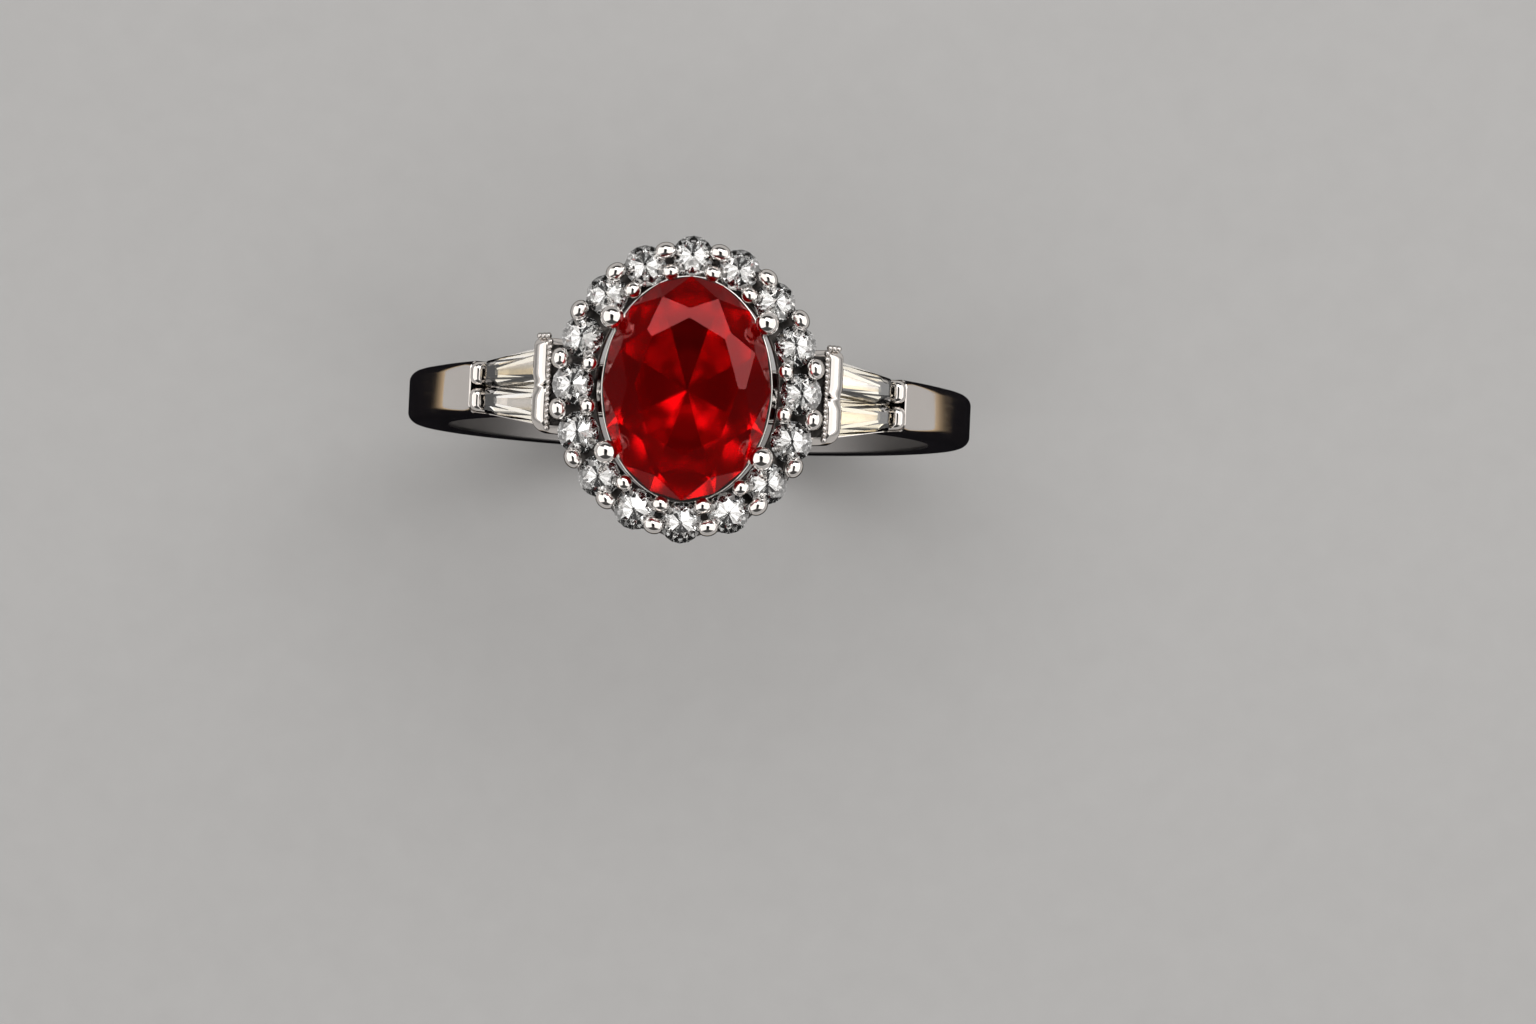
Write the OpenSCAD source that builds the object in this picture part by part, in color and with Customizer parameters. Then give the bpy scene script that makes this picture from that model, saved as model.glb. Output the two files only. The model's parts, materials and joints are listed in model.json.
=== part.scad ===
// Cocktail ring: an oval centre stone in a halo of round stones, tapered baguettes on the shoulders.
// The origin is the centre of the finger bore. +Y runs along the finger, +Z up to the centre stone.
// Every piece is a part that a goldsmith solders or sets, so each one is its own solid.

/* [Finger] */
// Radius of the finger bore
bore_r = 8.85; // [8.6:0.05:9]
// Radius of the outside of the shank
shank_r = 10.45; // [10.3:0.05:10.6]
// Width of the shank along the finger
shank_w = 1.9; // [1.8:0.05:2]

/* [Centre stone] */
// Length of the oval stone along the finger
oval_l = 8; // [7.9:0.05:8.1]
// Width of the oval stone across the finger
oval_w = 6; // [5.9:0.05:6.1]
// Height of the oval stone's girdle above the centre of the bore
oval_z = 11.8; // [11.7:0.05:12]

/* [Halo] */
// Number of round stones
halo_n = 16; // [16]
// Diameter of one round stone
round_d = 1.5; // [1.4:0.02:1.5]
// Half width of the oval that the round stones' centres lie on
halo_a = 4.06; // [4.04:0.01:4.1]
// Half length of the same oval
halo_b = 4.75; // [4.74:0.01:4.8]
// How far the round stones' girdles sit below the oval stone's girdle
halo_drop = 0.6; // [0.5:0.05:0.7]
// How far each round stone leans outwards, in degrees
halo_lean = 5; // [4:1:8]

/* [Shoulders] */
// Slope of the baguettes, in degrees below level
slope = 43; // [41:1:45]
// Distance from the middle plane to the baguettes' wide ends
bag_x = 5.5; // [5.45:0.01:5.55]
// Height of the baguettes' tables at their wide ends
bag_z = 9.92; // [9.85:0.01:10]
// Length of one baguette along the slope
bag_l = 2.73; // [2.6:0.01:2.75]
// Width of one baguette at its wide end
bag_wide = 1.39; // [1.3:0.01:1.42]
// Width of one baguette at its narrow end
bag_narrow = 0.95; // [0.9:0.01:1]

/* [Hidden] */

metal = "silver";
clear_stone = "azure";
red_stone = "crimson";
LEFT = -1;
RIGHT = 1;
FRONT = -1;
BACK = 1;
tiny = 0.01;

// Shank: the ends meet the lower gallery rail, and the part under the shoulders is thinner.
shank_end = 14;
shoulder_end = 44;
rise_start = 68;
rise_top = 27;
rise = 1.0;
under_r = 10;
corner_r = 0.35;

// Head, from the bottom up
rail_z0 = 8.95;
rail_h = 0.55;
rail_a = 2.65;
rail_b = 3.35;
rail_t = 0.6;
plate_top = 10.85;
plate_h = 0.5;
plate_out_a = 4.72;
plate_out_b = 5.33;
plate_in_a = 3.22;
plate_in_b = 4.0;
seat_h = 0.6;
seat_out = 0.06;
seat_in = 0.3;
hole_r = 0.5;
halo_z = oval_z - halo_drop;

// Beads and claws
inner_a = 3.55;
inner_b = 4.24;
outer_a = 4.63;
outer_b = 5.01;
inner_bead_r = 0.32;
outer_bead_r = 0.36;
bead_z = halo_z + 0.2;
claw_foot = [2.05, 1.85, rail_z0 + rail_h];
claw_head = [2.76, 2.4, oval_z + 0.32];
claw_r = 0.31;
claw_head_r = 0.42;

// Shoulder pieces
ledge = 0.54;
mount_deep = 3.2;
skirt_r = 9.5;
wide_bar_t = 0.7;
wide_bar_w = 3.4;
wide_bar_r = 0.25;
end_bar_t = 0.5;
end_bar_w = 0.87;
end_bar_gap = 0.08;
mount_l = bag_l + end_bar_t;
bridge_x = 4.35;
bridge_w = 2.9;
bridge_top = plate_top - plate_h;
grain_r = 0.12;
grain_n = 16;
end_grain_n = 3;
grain_x = -wide_bar_t - grain_r;
grain_up = 0.06;

// ---- Shapes that follow a rule ----

// Points of an oval, anticlockwise, seen from above
function oval(a, b, n = 72) = [for (i = [0 : n - 1]) [a * cos(360 * i / n), b * sin(360 * i / n)]];

// Arc length of the halo's oval up to step i of n, clockwise from the top
arc_steps = 360;
function halo_point(t, a = halo_a, b = halo_b) = [a * sin(t), b * cos(t)];
function arc_table(i = 0, sum = 0) = i > arc_steps ? [] :
    let (p = halo_point(i * 360 / arc_steps), q = halo_point((i + 1) * 360 / arc_steps))
    concat([sum], arc_table(i + 1, sum + norm(q - p)));
halo_arc = arc_table();

// Angle that lies a given fraction of the way round the halo
function halo_angle(f) = lookup(
    (f - floor(f)) * halo_arc[arc_steps],
    [for (i = [0 : arc_steps]) [halo_arc[i], i * 360 / arc_steps]]
);

// Outward direction of the halo's oval, as a turn about Z
function halo_turn(t) = atan2(halo_a * cos(t), halo_b * sin(t));

// Outside radius of the shank, which rises from the finger up to the head
function rise_step(t) = t <= 0 ? 0 : t >= 1 ? 1 : t * t * (3 - 2 * t);
function shank_out(turn) = shank_r + rise * rise_step((rise_start - turn) / (rise_start - rise_top));

// A brilliant with eight mains. cut lists the table, star and lower girdle radii as parts of the whole,
// then the height of the stars as a part of the crown.
function ring_points(rx, ry, r, z, n, first) =
    [for (i = [0 : n - 1]) let (t = first + 360 * i / n) [rx * r * cos(t), ry * r * sin(t), z]];

module brilliant(rx, ry, crown, girdle, pavilion, cut) {
    table_r = cut[0];
    star_r = cut[1];
    lower_r = cut[2];
    star_z = crown * cut[3];
    c = cos(22.5);
    star_fall = (crown - star_z) / (star_r - table_r * c);
    kite_fall = star_z / (1 - star_r * c);
    tip_r = (crown + star_fall * c * table_r - kite_fall) / (star_fall * c - kite_fall);
    tip_z = kite_fall * (1 - tip_r);
    lower_z = -girdle - pavilion * (1 - lower_r * c);
    points = concat(
        ring_points(rx, ry, table_r, crown, 8, 0),
        ring_points(rx, ry, tip_r, tip_z, 8, 0),
        ring_points(rx, ry, star_r, star_z, 8, 22.5),
        ring_points(rx, ry, 1, 0, 16, 0),
        ring_points(rx, ry, 1, -girdle, 16, 0),
        ring_points(rx, ry, lower_r, lower_z, 8, 22.5),
        [[0, 0, -girdle - pavilion]]
    );
    tip = 8;
    star = 16;
    top = 24;
    bottom = 40;
    lower = 56;
    culet = 64;
    table_face = [[for (i = [7 : -1 : 0]) i]];
    sides = [for (i = [0 : 7])
        let (j = (i + 1) % 8, g = 2 * i, m = 2 * i + 1, h = (2 * i + 2) % 16)
        each [
            [i, j, tip + j, star + i, tip + i],
            [tip + j, star + j, top + h, star + i],
            [star + i, top + m, top + g],
            [star + i, top + h, top + m],
            [top + g, top + m, bottom + m, bottom + g],
            [top + m, top + h, bottom + h, bottom + m],
            [bottom + g, bottom + m, lower + i],
            [bottom + m, bottom + h, lower + i],
            [bottom + h, lower + j, culet, lower + i]
        ]];
    polyhedron(points, concat(table_face, sides), convexity = 4);
}

// Outline of a tapered baguette, drawn in by a distance on three sides and by another at its wide end
function bag_outline(in, z, head_in) =
    let (
        taper = (bag_wide - bag_narrow) / bag_l,
        lean = in * sqrt(1 + taper * taper),
        wide = bag_wide - taper * head_in - lean,
        narrow = bag_narrow + taper * in - lean
    )
    [[head_in, in, z], [bag_l - in, in, z], [bag_l - in, narrow, z], [head_in, wide, z]];

// A stack of four-sided layers, from the top down
module stepped(layers) {
    n = len(layers);
    points = [for (layer = layers) each layer];
    sides = [for (k = [0 : n - 2], i = [0 : 3])
        let (j = (i + 1) % 4)
        [4 * k + i, 4 * k + j, 4 * k + 4 + j, 4 * k + 4 + i]];
    top_face = [[3, 2, 1, 0]];
    bottom_face = [[for (i = [0 : 3]) 4 * (n - 1) + i]];
    polyhedron(points, concat(top_face, sides, bottom_face), convexity = 2);
}

// Rectangle with round corners, centred across and hanging down from a top edge
module round_plate(width, top, bottom, r) {
    translate([-width / 2 + r, bottom + r])
        square([width - 2 * r, top - bottom - 2 * r]);
    translate([-width / 2, bottom + r])
        square([width, top - bottom - 2 * r]);
    translate([-width / 2 + r, bottom])
        square([width - 2 * r, top - bottom]);
    for (x = [-1, 1], y = [bottom + r, top - r])
        translate([x * (width / 2 - r), y])
            circle(r, $fn = 32);
}

// ---- Places ----

// Stands its children on the slope of one shoulder: x runs down the slope, z away from the finger
module on_shoulder(side) {
    mirror([side == LEFT ? 1 : 0, 0, 0])
        translate([bag_x, 0, bag_z])
            rotate([0, slope, 0])
                children();
}

// A solid cylinder along the finger
module finger(r, width) {
    rotate([90, 0, 0])
        cylinder(r = r, h = width, center = true, $fn = 96);
}

// Clears the finger and the shank's ends away from a piece that straddles them
module clear_of_shank() {
    difference() {
        children();
        finger(skirt_r, 12);
        finger(under_r, shank_w);
    }
}

// Turns a section around the finger, from one angle to another, both taken from +Z
module around_finger(from, to) {
    rotate([90, 0, 0])
        rotate([0, 0, 90 - to])
            rotate_extrude(angle = to - from, $fn = 96)
                children();
}

// ---- Band ----

module shank_section() {
    inner = under_r - 0.2;
    translate([inner, -shank_w / 2])
        square([shank_r - corner_r - inner, shank_w]);
    translate([inner, -shank_w / 2 + corner_r])
        square([shank_r - inner, shank_w - 2 * corner_r]);
    for (y = [-1, 1])
        translate([shank_r - corner_r, y * (shank_w / 2 - corner_r)])
            circle(corner_r, $fn = 32);
}

module shoulder_rise() {
    steps = [for (t = [shoulder_end : 2.3 : rise_start]) t];
    outside = [for (t = steps) shank_out(t) * [sin(t), cos(t)]];
    inside = [for (i = [len(steps) - 1 : -1 : 0]) (under_r + 0.2) * [sin(steps[i]), cos(steps[i])]];
    rotate([90, 0, 0])
        linear_extrude(shank_w - 0.16, center = true)
            polygon(concat(outside, inside));
}

// The full band, cut square where the shoulder pieces begin
module full_band() {
    difference() {
        union() {
            around_finger(shoulder_end, 360 - shoulder_end)
                shank_section();
            for (side = [LEFT, RIGHT])
                mirror([side == LEFT ? 1 : 0, 0, 0])
                    shoulder_rise();
        }
        for (side = [LEFT, RIGHT])
            on_shoulder(side)
                translate([-2, -2, -2])
                    cube([mount_l + 2, 4, 4]);
    }
}

module shank() {
    color(metal)
        difference() {
            union() {
                around_finger(shank_end, 360 - shank_end)
                    translate([bore_r, -shank_w / 2])
                        square([under_r - bore_r, shank_w]);
                full_band();
            }
            translate([0, 0, oval_z - 5])
                linear_extrude(5)
                    polygon(oval(rail_a, rail_b));
        }
}

// ---- Head ----

module oval_ring(out_a, out_b, in_a, in_b, z, h) {
    translate([0, 0, z])
        linear_extrude(h)
            difference() {
                polygon(oval(out_a, out_b));
                polygon(oval(in_a, in_b));
            }
}

module claw_wire(r) {
    lean = claw_head - claw_foot;
    translate(claw_foot)
        rotate([0, acos(lean[2] / norm(lean)), atan2(lean[1], lean[0])])
            translate([0, 0, -0.4])
                cylinder(r = r, h = norm(lean) + 0.4, $fn = 32);
}

// The four claws stand at the corners of the oval stone
module at_corner(i) {
    mirror([i == 2 || i == 3 ? 1 : 0, 0, 0])
        mirror([0, i == 3 || i == 4 ? 1 : 0, 0])
            children();
}

module all_claw_wires() {
    for (i = [1 : 4])
        at_corner(i)
            claw_wire(claw_r);
}

module lower_gallery_rail() {
    color(metal)
        oval_ring(rail_a, rail_b, rail_a - rail_t, rail_b - rail_t, rail_z0, rail_h);
}

module halo_plate() {
    color(metal)
        difference() {
            oval_ring(plate_out_a, plate_out_b, plate_in_a, plate_in_b, plate_top - plate_h, plate_h);
            for (i = [0 : halo_n - 1])
                at_halo_stone(i)
                    translate([0, 0, -2])
                        cylinder(r = hole_r, h = 4, $fn = 32);
            all_claw_wires();
        }
}

module seat_rail() {
    half_w = oval_w / 2;
    half_l = oval_l / 2;
    color(metal)
        difference() {
            oval_ring(half_w + seat_out, half_l + seat_out, half_w - seat_in, half_l - seat_in, plate_top, seat_h);
            all_claw_wires();
            at_inner_beads()
                cylinder(r = inner_bead_r, h = oval_z, $fn = 32);
        }
}

module claw(i) {
    color(metal)
        at_corner(i)
            difference() {
                union() {
                    claw_wire(claw_r);
                    translate(claw_head)
                        sphere(claw_head_r, $fn = 32);
                }
                translate([0, 0, rail_z0 + rail_h - 2])
                    linear_extrude(2)
                        square(12, center = true);
                oval_gem();
            }
}

module claw_1() { claw(1); }
module claw_2() { claw(2); }
module claw_3() { claw(3); }
module claw_4() { claw(4); }

// A post with a round head that holds the two stones beside it
module bead(r) {
    translate([0, 0, plate_top])
        cylinder(r = r, h = bead_z - plate_top, $fn = 32);
    translate([0, 0, bead_z])
        sphere(r, $fn = 32);
}

// Claws take the place of these inner beads, counted clockwise from the top
claw_gaps = [2, 5, 10, 13];

// Stands its children in the gap after round stone i, on an oval of half sizes a and b
module at_gap(i, a, b) {
    p = halo_point(halo_angle((i + 0.5) / halo_n), a, b);
    translate([p[0], p[1], 0])
        children();
}

module at_inner_beads() {
    for (i = [0 : halo_n - 1])
        if (len(search(i, claw_gaps)) == 0)
            at_gap(i, inner_a, inner_b)
                children();
}

// The room that one round stone takes from the beads beside it
module stone_room(i) {
    r = round_d / 2 + tiny;
    at_halo_stone(i) {
        translate([0, 0, -1])
            cylinder(r = r, h = 1, $fn = 48);
        cylinder(r1 = r, r2 = r * 0.55, h = 0.25, $fn = 48);
    }
}

module fitted_bead(i, a, b, r) {
    difference() {
        at_gap(i, a, b)
            bead(r);
        stone_room(i);
        stone_room(i + 1);
    }
}

module inner_beads() {
    color(metal)
        for (i = [0 : halo_n - 1])
            if (len(search(i, claw_gaps)) == 0)
                fitted_bead(i, inner_a, inner_b, inner_bead_r);
}

module outer_beads() {
    color(metal)
        for (i = [0 : halo_n - 1])
            fitted_bead(i, outer_a, outer_b, outer_bead_r);
}

// ---- Stones in the head ----

module oval_gem() {
    translate([0, 0, oval_z])
        brilliant(oval_w / 2, oval_l / 2, 0.85, 0.1, 2.45, [0.6125, 0.86, 0.72, 0.61]);
}

module centre_stone() {
    color(red_stone)
        oval_gem();
}

module at_halo_stone(i) {
    t = halo_angle(i / halo_n);
    p = halo_point(t);
    translate([p[0], p[1], halo_z])
        rotate([0, 0, halo_turn(t)])
            rotate([0, halo_lean, 0])
                children();
}

module halo_stone(i) {
    r = round_d / 2;
    color(clear_stone)
        at_halo_stone(i)
            brilliant(r, r, 0.24, 0.04, 0.62, [0.55, 0.74, 0.4, 0.6]);
}

// ---- Shoulders ----

module mount(side) {
    wide = bag_wide + 0.03;
    narrow = bag_narrow - 0.05;
    pocket_in = 0.14;
    color(metal)
        clear_of_shank()
            on_shoulder(side)
                difference() {
                    translate([0, 0, -mount_deep])
                        linear_extrude(mount_deep - ledge)
                            polygon([[0, -wide], [mount_l, -narrow], [mount_l, narrow], [0, wide]]);
                    for (place = [FRONT, BACK])
                        mirror([0, place == FRONT ? 1 : 0, 0])
                            translate([0, 0, -1.06])
                                linear_extrude(1)
                                    polygon([for (p = bag_outline(pocket_in, 0, -tiny)) [p[0], p[1]]]);
                    translate([bag_l, -2, -1.2])
                        cube([2, 4, 2]);
                }
}

module left_mount() { mount(LEFT); }
module right_mount() { mount(RIGHT); }

// The bar across the wide ends, nicked in the middle on the side towards the head
module wide_bar(side) {
    color(metal)
        clear_of_shank()
            on_shoulder(side)
                difference() {
                    translate([-wide_bar_t, 0, 0])
                        rotate([90, 0, 90])
                            linear_extrude(wide_bar_t)
                                round_plate(wide_bar_w, 0.12, -2.3, wide_bar_r);
                    translate([-wide_bar_t - tiny, -0.04, -0.2])
                        cube([0.2, 0.08, 1]);
                }
}

module left_wide_bar() { wide_bar(LEFT); }
module right_wide_bar() { wide_bar(RIGHT); }

module end_bar(side, place) {
    color(metal)
        clear_of_shank()
            on_shoulder(side)
                translate([bag_l, place * (end_bar_w + end_bar_gap) / 2, 0])
                    rotate([90, 0, 90])
                        linear_extrude(end_bar_t)
                            round_plate(end_bar_w, 0.12, -1.3, 0.16);
}

module left_end_bar_front() { end_bar(LEFT, FRONT); }
module left_end_bar_back() { end_bar(LEFT, BACK); }
module right_end_bar_front() { end_bar(RIGHT, FRONT); }
module right_end_bar_back() { end_bar(RIGHT, BACK); }

// Joins the wide bar to the underside of the halo plate
module bridge(side) {
    color(metal)
        difference() {
            clear_of_shank()
                mirror([side == LEFT ? 1 : 0, 0, 0])
                    translate([bridge_x, -bridge_w / 2, 8])
                        cube([1.6, bridge_w, bridge_top - 8]);
            on_shoulder(side)
                translate([-wide_bar_t, -3, -5])
                    cube([6, 6, 8]);
            on_shoulder(side)
                translate([grain_x, 0, grain_up]) {
                    rotate([90, 0, 0])
                        cylinder(r = grain_r, h = 6, center = true, $fn = 24);
                    translate([-grain_r, -3, 0])
                        cube([2 * grain_r, 6, 2]);
                }
        }
}

module left_bridge() { bridge(LEFT); }
module right_bridge() { bridge(RIGHT); }

// A beaded wire along the bar's inner edge, turned round its back end
module beaded_edge(side) {
    half = (wide_bar_w - 0.3) / 2;
    pitch = 2 * half / (grain_n - 1);
    turn = half + 0.2;
    color(metal)
        on_shoulder(side)
            translate([grain_x, 0, grain_up]) {
                for (i = [0 : grain_n - 1])
                    translate([0, -half + i * pitch, 0])
                        sphere(grain_r, $fn = 24);
                for (i = [0 : end_grain_n - 1])
                    translate([grain_r + i * pitch, turn, 0])
                        sphere(grain_r, $fn = 24);
                translate([0, turn, 0])
                    rotate([90, 0, 0])
                        cylinder(r = grain_r / 2, h = turn + half, $fn = 24);
                translate([0, turn, 0])
                    rotate([0, 90, 0])
                        cylinder(r = grain_r / 2, h = end_grain_n * pitch, $fn = 24);
            }
}

module left_beaded_edge() { beaded_edge(LEFT); }
module right_beaded_edge() { beaded_edge(RIGHT); }

module baguette(side, place) {
    color(clear_stone)
        on_shoulder(side)
            mirror([0, place == FRONT ? 1 : 0, 0])
                stepped([
                    bag_outline(0.3, 0, 0.07),
                    bag_outline(0.13, -0.14, 0.04),
                    bag_outline(0.01, -0.32, 0.01),
                    bag_outline(0.01, -0.37, 0.01),
                    bag_outline(0.2, -0.62, 0.08),
                    bag_outline(0.42, -0.98, 0.18)
                ]);
}

module left_baguette_front() { baguette(LEFT, FRONT); }
module left_baguette_back() { baguette(LEFT, BACK); }
module right_baguette_front() { baguette(RIGHT, FRONT); }
module right_baguette_back() { baguette(RIGHT, BACK); }

// ---- What is drawn ----

shank();
lower_gallery_rail();
halo_plate();
seat_rail();
inner_beads();
outer_beads();
claw_1();
claw_2();
claw_3();
claw_4();
centre_stone();
left_mount();
right_mount();
left_wide_bar();
right_wide_bar();
left_bridge();
right_bridge();
left_beaded_edge();
right_beaded_edge();
left_end_bar_front();
left_end_bar_back();
right_end_bar_front();
right_end_bar_back();
left_baguette_front();
left_baguette_back();
right_baguette_front();
right_baguette_back();
halo_stone(0);  // halo_stone_01
halo_stone(1);  // halo_stone_02
halo_stone(2);  // halo_stone_03
halo_stone(3);  // halo_stone_04
halo_stone(4);  // halo_stone_05
halo_stone(5);  // halo_stone_06
halo_stone(6);  // halo_stone_07
halo_stone(7);  // halo_stone_08
halo_stone(8);  // halo_stone_09
halo_stone(9);  // halo_stone_10
halo_stone(10);  // halo_stone_11
halo_stone(11);  // halo_stone_12
halo_stone(12);  // halo_stone_13
halo_stone(13);  // halo_stone_14
halo_stone(14);  // halo_stone_15
halo_stone(15);  // halo_stone_16
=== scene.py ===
"""Looks for the cocktail ring, in metres in the CAD frame: +Y along the finger, +Z up to the centre stone.

Sizes are in millimetres, as in part.scad, and every point is scaled to metres when a mesh is made.
"""

import json
import math
import random

import bmesh
import bpy
from mathutils import Matrix, Vector


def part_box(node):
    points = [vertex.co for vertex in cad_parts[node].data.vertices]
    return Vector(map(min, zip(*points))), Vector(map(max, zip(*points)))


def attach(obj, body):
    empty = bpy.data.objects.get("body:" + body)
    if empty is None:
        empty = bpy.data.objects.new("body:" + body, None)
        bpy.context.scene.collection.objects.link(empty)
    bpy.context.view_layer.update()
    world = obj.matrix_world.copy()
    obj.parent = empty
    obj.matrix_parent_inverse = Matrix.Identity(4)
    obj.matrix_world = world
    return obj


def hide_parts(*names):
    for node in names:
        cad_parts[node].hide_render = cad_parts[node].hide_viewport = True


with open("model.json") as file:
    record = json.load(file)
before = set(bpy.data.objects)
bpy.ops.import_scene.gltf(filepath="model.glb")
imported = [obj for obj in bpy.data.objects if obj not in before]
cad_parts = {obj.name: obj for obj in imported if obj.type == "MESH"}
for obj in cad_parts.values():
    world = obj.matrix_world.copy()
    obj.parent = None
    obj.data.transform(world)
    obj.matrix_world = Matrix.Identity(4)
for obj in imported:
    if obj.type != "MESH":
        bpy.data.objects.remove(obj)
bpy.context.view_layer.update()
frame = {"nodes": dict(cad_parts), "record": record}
scene = bpy.context.scene
MM = 0.001

# ---- Sizes from the frame ----


def reach(node, axis):
    """Highest coordinate of a CAD node along an axis, in millimetres."""
    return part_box(node)[1][axis] / MM


def floor_of(node, axis):
    """Lowest coordinate of a CAD node along an axis, in millimetres."""
    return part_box(node)[0][axis] / MM


BORE_R = frame["record"]["mounts"][0]["dims"]["r_mm"]
BAND_W = 2 * reach("shank", 1)
BAND_R = -floor_of("shank", 2)
OVAL_A = reach("centre_stone", 0)
OVAL_B = reach("centre_stone", 1)
OVAL_CROWN = 0.85
OVAL_Z = reach("centre_stone", 2) - OVAL_CROWN

# Band
UNDER_R = 10.0
RISE = 1.0
RISE_START = 68
RISE_TOP = 27
SHOULDER_END = 45
INNER_EDGE = 0.12
DOME = 0.05

# Halo
STONES = 16
HALO_A = 4.06
HALO_B = 4.75
HALO_Z = OVAL_Z - 0.6
HALO_LEAN = math.radians(5)
PLATE_TOP = reach("halo_plate", 2)
PLATE_LOW = floor_of("halo_plate", 2)
PLATE_IN = (3.22, 4.0)
SCALLOP = 0.16
HOLE_R = 0.5
STONE_ROOM_R = 0.62
INNER_BEADS = (3.55, 4.24)
INNER_BEAD_R = 0.32
OUTER_BEADS = (4.63, 5.01)
OUTER_BEAD_R = 0.36
BEAD_Z = HALO_Z + 0.2
CLAW_GAPS = (2, 5, 10, 13)

# Rails and claws
RAIL_T = 0.6
SEAT_IN = 0.3
SEAT_OUT = 0.06
CLAW_FOOT = Vector((2.05, 1.85, reach("lower_gallery_rail", 2)))
CLAW_HEAD = Vector((2.76, 2.4, OVAL_Z + 0.32))
CLAW_R = 0.31
CLAW_HEAD_R = 0.42

# Shoulders
SLOPE = math.radians(43)
BAG_X = 5.5
BAG_Z = 9.92
BAG_L = 2.73
WIDE_BAR_W = reach("left_wide_bar", 1) * 2
WIDE_BAR_T = 0.7
END_BAR_T = 0.5
END_BAR_W = 0.87
END_BAR_GAP = 0.08
MOUNT_L = BAG_L + END_BAR_T
GRAIN_R = 0.12
GRAINS = 16
END_GRAINS = 3
GRAIN_UP = 0.06
BAR_TOP = 0.12
SIDES = (("left", -1), ("right", 1))

# ---- Making meshes ----


def ring_of(shape, turns=40):
    """Points round a full turn, where shape gives the point at an angle."""
    return [shape(2 * math.pi * k / turns) for k in range(turns)]


class Shell:
    """Collects closed shells of points and faces, in millimetres, for one piece."""

    def __init__(self):
        self.points = []
        self.faces = []

    def loft(self, loops, around=False):
        """Joins equal loops in a row. The ends are capped, or joined to each other when around is true."""
        first = len(self.points)
        size = len(loops[0])
        for loop in loops:
            self.points.extend(loop)
        rows = len(loops) if around else len(loops) - 1
        for row in range(rows):
            a = first + row * size
            b = first + (row + 1) % len(loops) * size
            for k in range(size):
                n = (k + 1) % size
                self.faces.append((a + k, a + n, b + n, b + k))
        if not around:
            last = first + (len(loops) - 1) * size
            self.faces.append(tuple(range(first + size - 1, first - 1, -1)))
            self.faces.append(tuple(range(last, last + size)))

    def turned(self, profile, place, turns=36, stretch=(1, 1)):
        """A shape turned about its own Z from (radius, height) pairs, then put in place."""
        loops = []
        for radius, height in profile:
            loop = ring_of(
                lambda a: place
                @ Vector((radius * stretch[0] * math.cos(a), radius * stretch[1] * math.sin(a), height)),
                turns,
            )
            loops.append(loop)
        self.loft(loops)

    def mesh(self, name, sharp=35):
        mesh = bpy.data.meshes.new(name)
        mesh.from_pydata([Vector(p) * MM for p in self.points], [], self.faces)
        mesh.validate()
        mesh.shade_smooth()
        mesh.set_sharp_from_angle(angle=math.radians(sharp))
        return mesh


def face_outwards(obj):
    """Turns every face of a closed mesh to the outside."""
    shape = bmesh.new()
    shape.from_mesh(obj.data)
    bmesh.ops.recalc_face_normals(shape, faces=shape.faces)
    shape.to_mesh(obj.data)
    shape.free()


def stand_for(shell, name, node, material, sharp=35):
    """Makes the piece that stands for a CAD node of metal."""
    piece = bpy.data.objects.new(name, shell.mesh(name, sharp))
    scene.collection.objects.link(piece)
    face_outwards(piece)
    piece.data.materials.append(material)
    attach(piece, "root")
    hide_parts(node)
    return piece


def soften(obj, width, steps=3, angle=40):
    """Rounds the edges of a piece by a width in millimetres, as polishing does."""
    bevel = obj.modifiers.new("soft edges", "BEVEL")
    bevel.width = width * MM
    bevel.segments = steps
    bevel.limit_method = "ANGLE"
    bevel.angle_limit = math.radians(angle)
    bevel.harden_normals = True


def arc(cx, cy, r, start, end, steps):
    """Points on an arc, with angles in degrees."""
    span = (end - start) / steps
    turns = [math.radians(start + span * k) for k in range(steps + 1)]
    return [(cx + r * math.cos(t), cy + r * math.sin(t)) for t in turns]


def round_section(x0, x1, y0, y1, low_r, high_r, steps=6):
    """A rectangle with one corner radius on its low-x side and another on its high-x side."""
    return (
        arc(x1 - high_r, y0 + high_r, high_r, -90, 0, steps)
        + arc(x1 - high_r, y1 - high_r, high_r, 0, 90, steps)
        + arc(x0 + low_r, y1 - low_r, low_r, 90, 180, steps)
        + arc(x0 + low_r, y0 + low_r, low_r, 180, 270, steps)
    )


# ---- Places ----


def corner_signs(number):
    """Which side and end of the oval stone a claw stands at."""
    return (-1 if number in (2, 3) else 1, -1 if number in (3, 4) else 1)


def halo_table(steps=1440):
    """Length of the halo's oval up to each step, clockwise from the back end."""
    lengths = [0.0]
    for k in range(steps):
        a, b = 2 * math.pi * k / steps, 2 * math.pi * (k + 1) / steps
        step = Vector((HALO_A * (math.sin(b) - math.sin(a)), HALO_B * (math.cos(b) - math.cos(a))))
        lengths.append(lengths[-1] + step.length)
    return lengths


HALO_LENGTHS = halo_table()


def halo_angle(part):
    """Angle that lies a given part of the way round the halo."""
    wanted = part % 1 * HALO_LENGTHS[-1]
    for k in range(1, len(HALO_LENGTHS)):
        if HALO_LENGTHS[k] >= wanted:
            gap = HALO_LENGTHS[k] - HALO_LENGTHS[k - 1]
            within = (wanted - HALO_LENGTHS[k - 1]) / gap
            return 2 * math.pi * (k - 1 + within) / (len(HALO_LENGTHS) - 1)
    return 0.0


def halo_part(angle):
    """How far round the halo an angle lies, from 0 to 1."""
    steps = len(HALO_LENGTHS) - 1
    place = angle / (2 * math.pi) % 1 * steps
    k = int(place)
    here = HALO_LENGTHS[k] + (place - k) * (HALO_LENGTHS[k + 1] - HALO_LENGTHS[k])
    return here / HALO_LENGTHS[-1]


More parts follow.
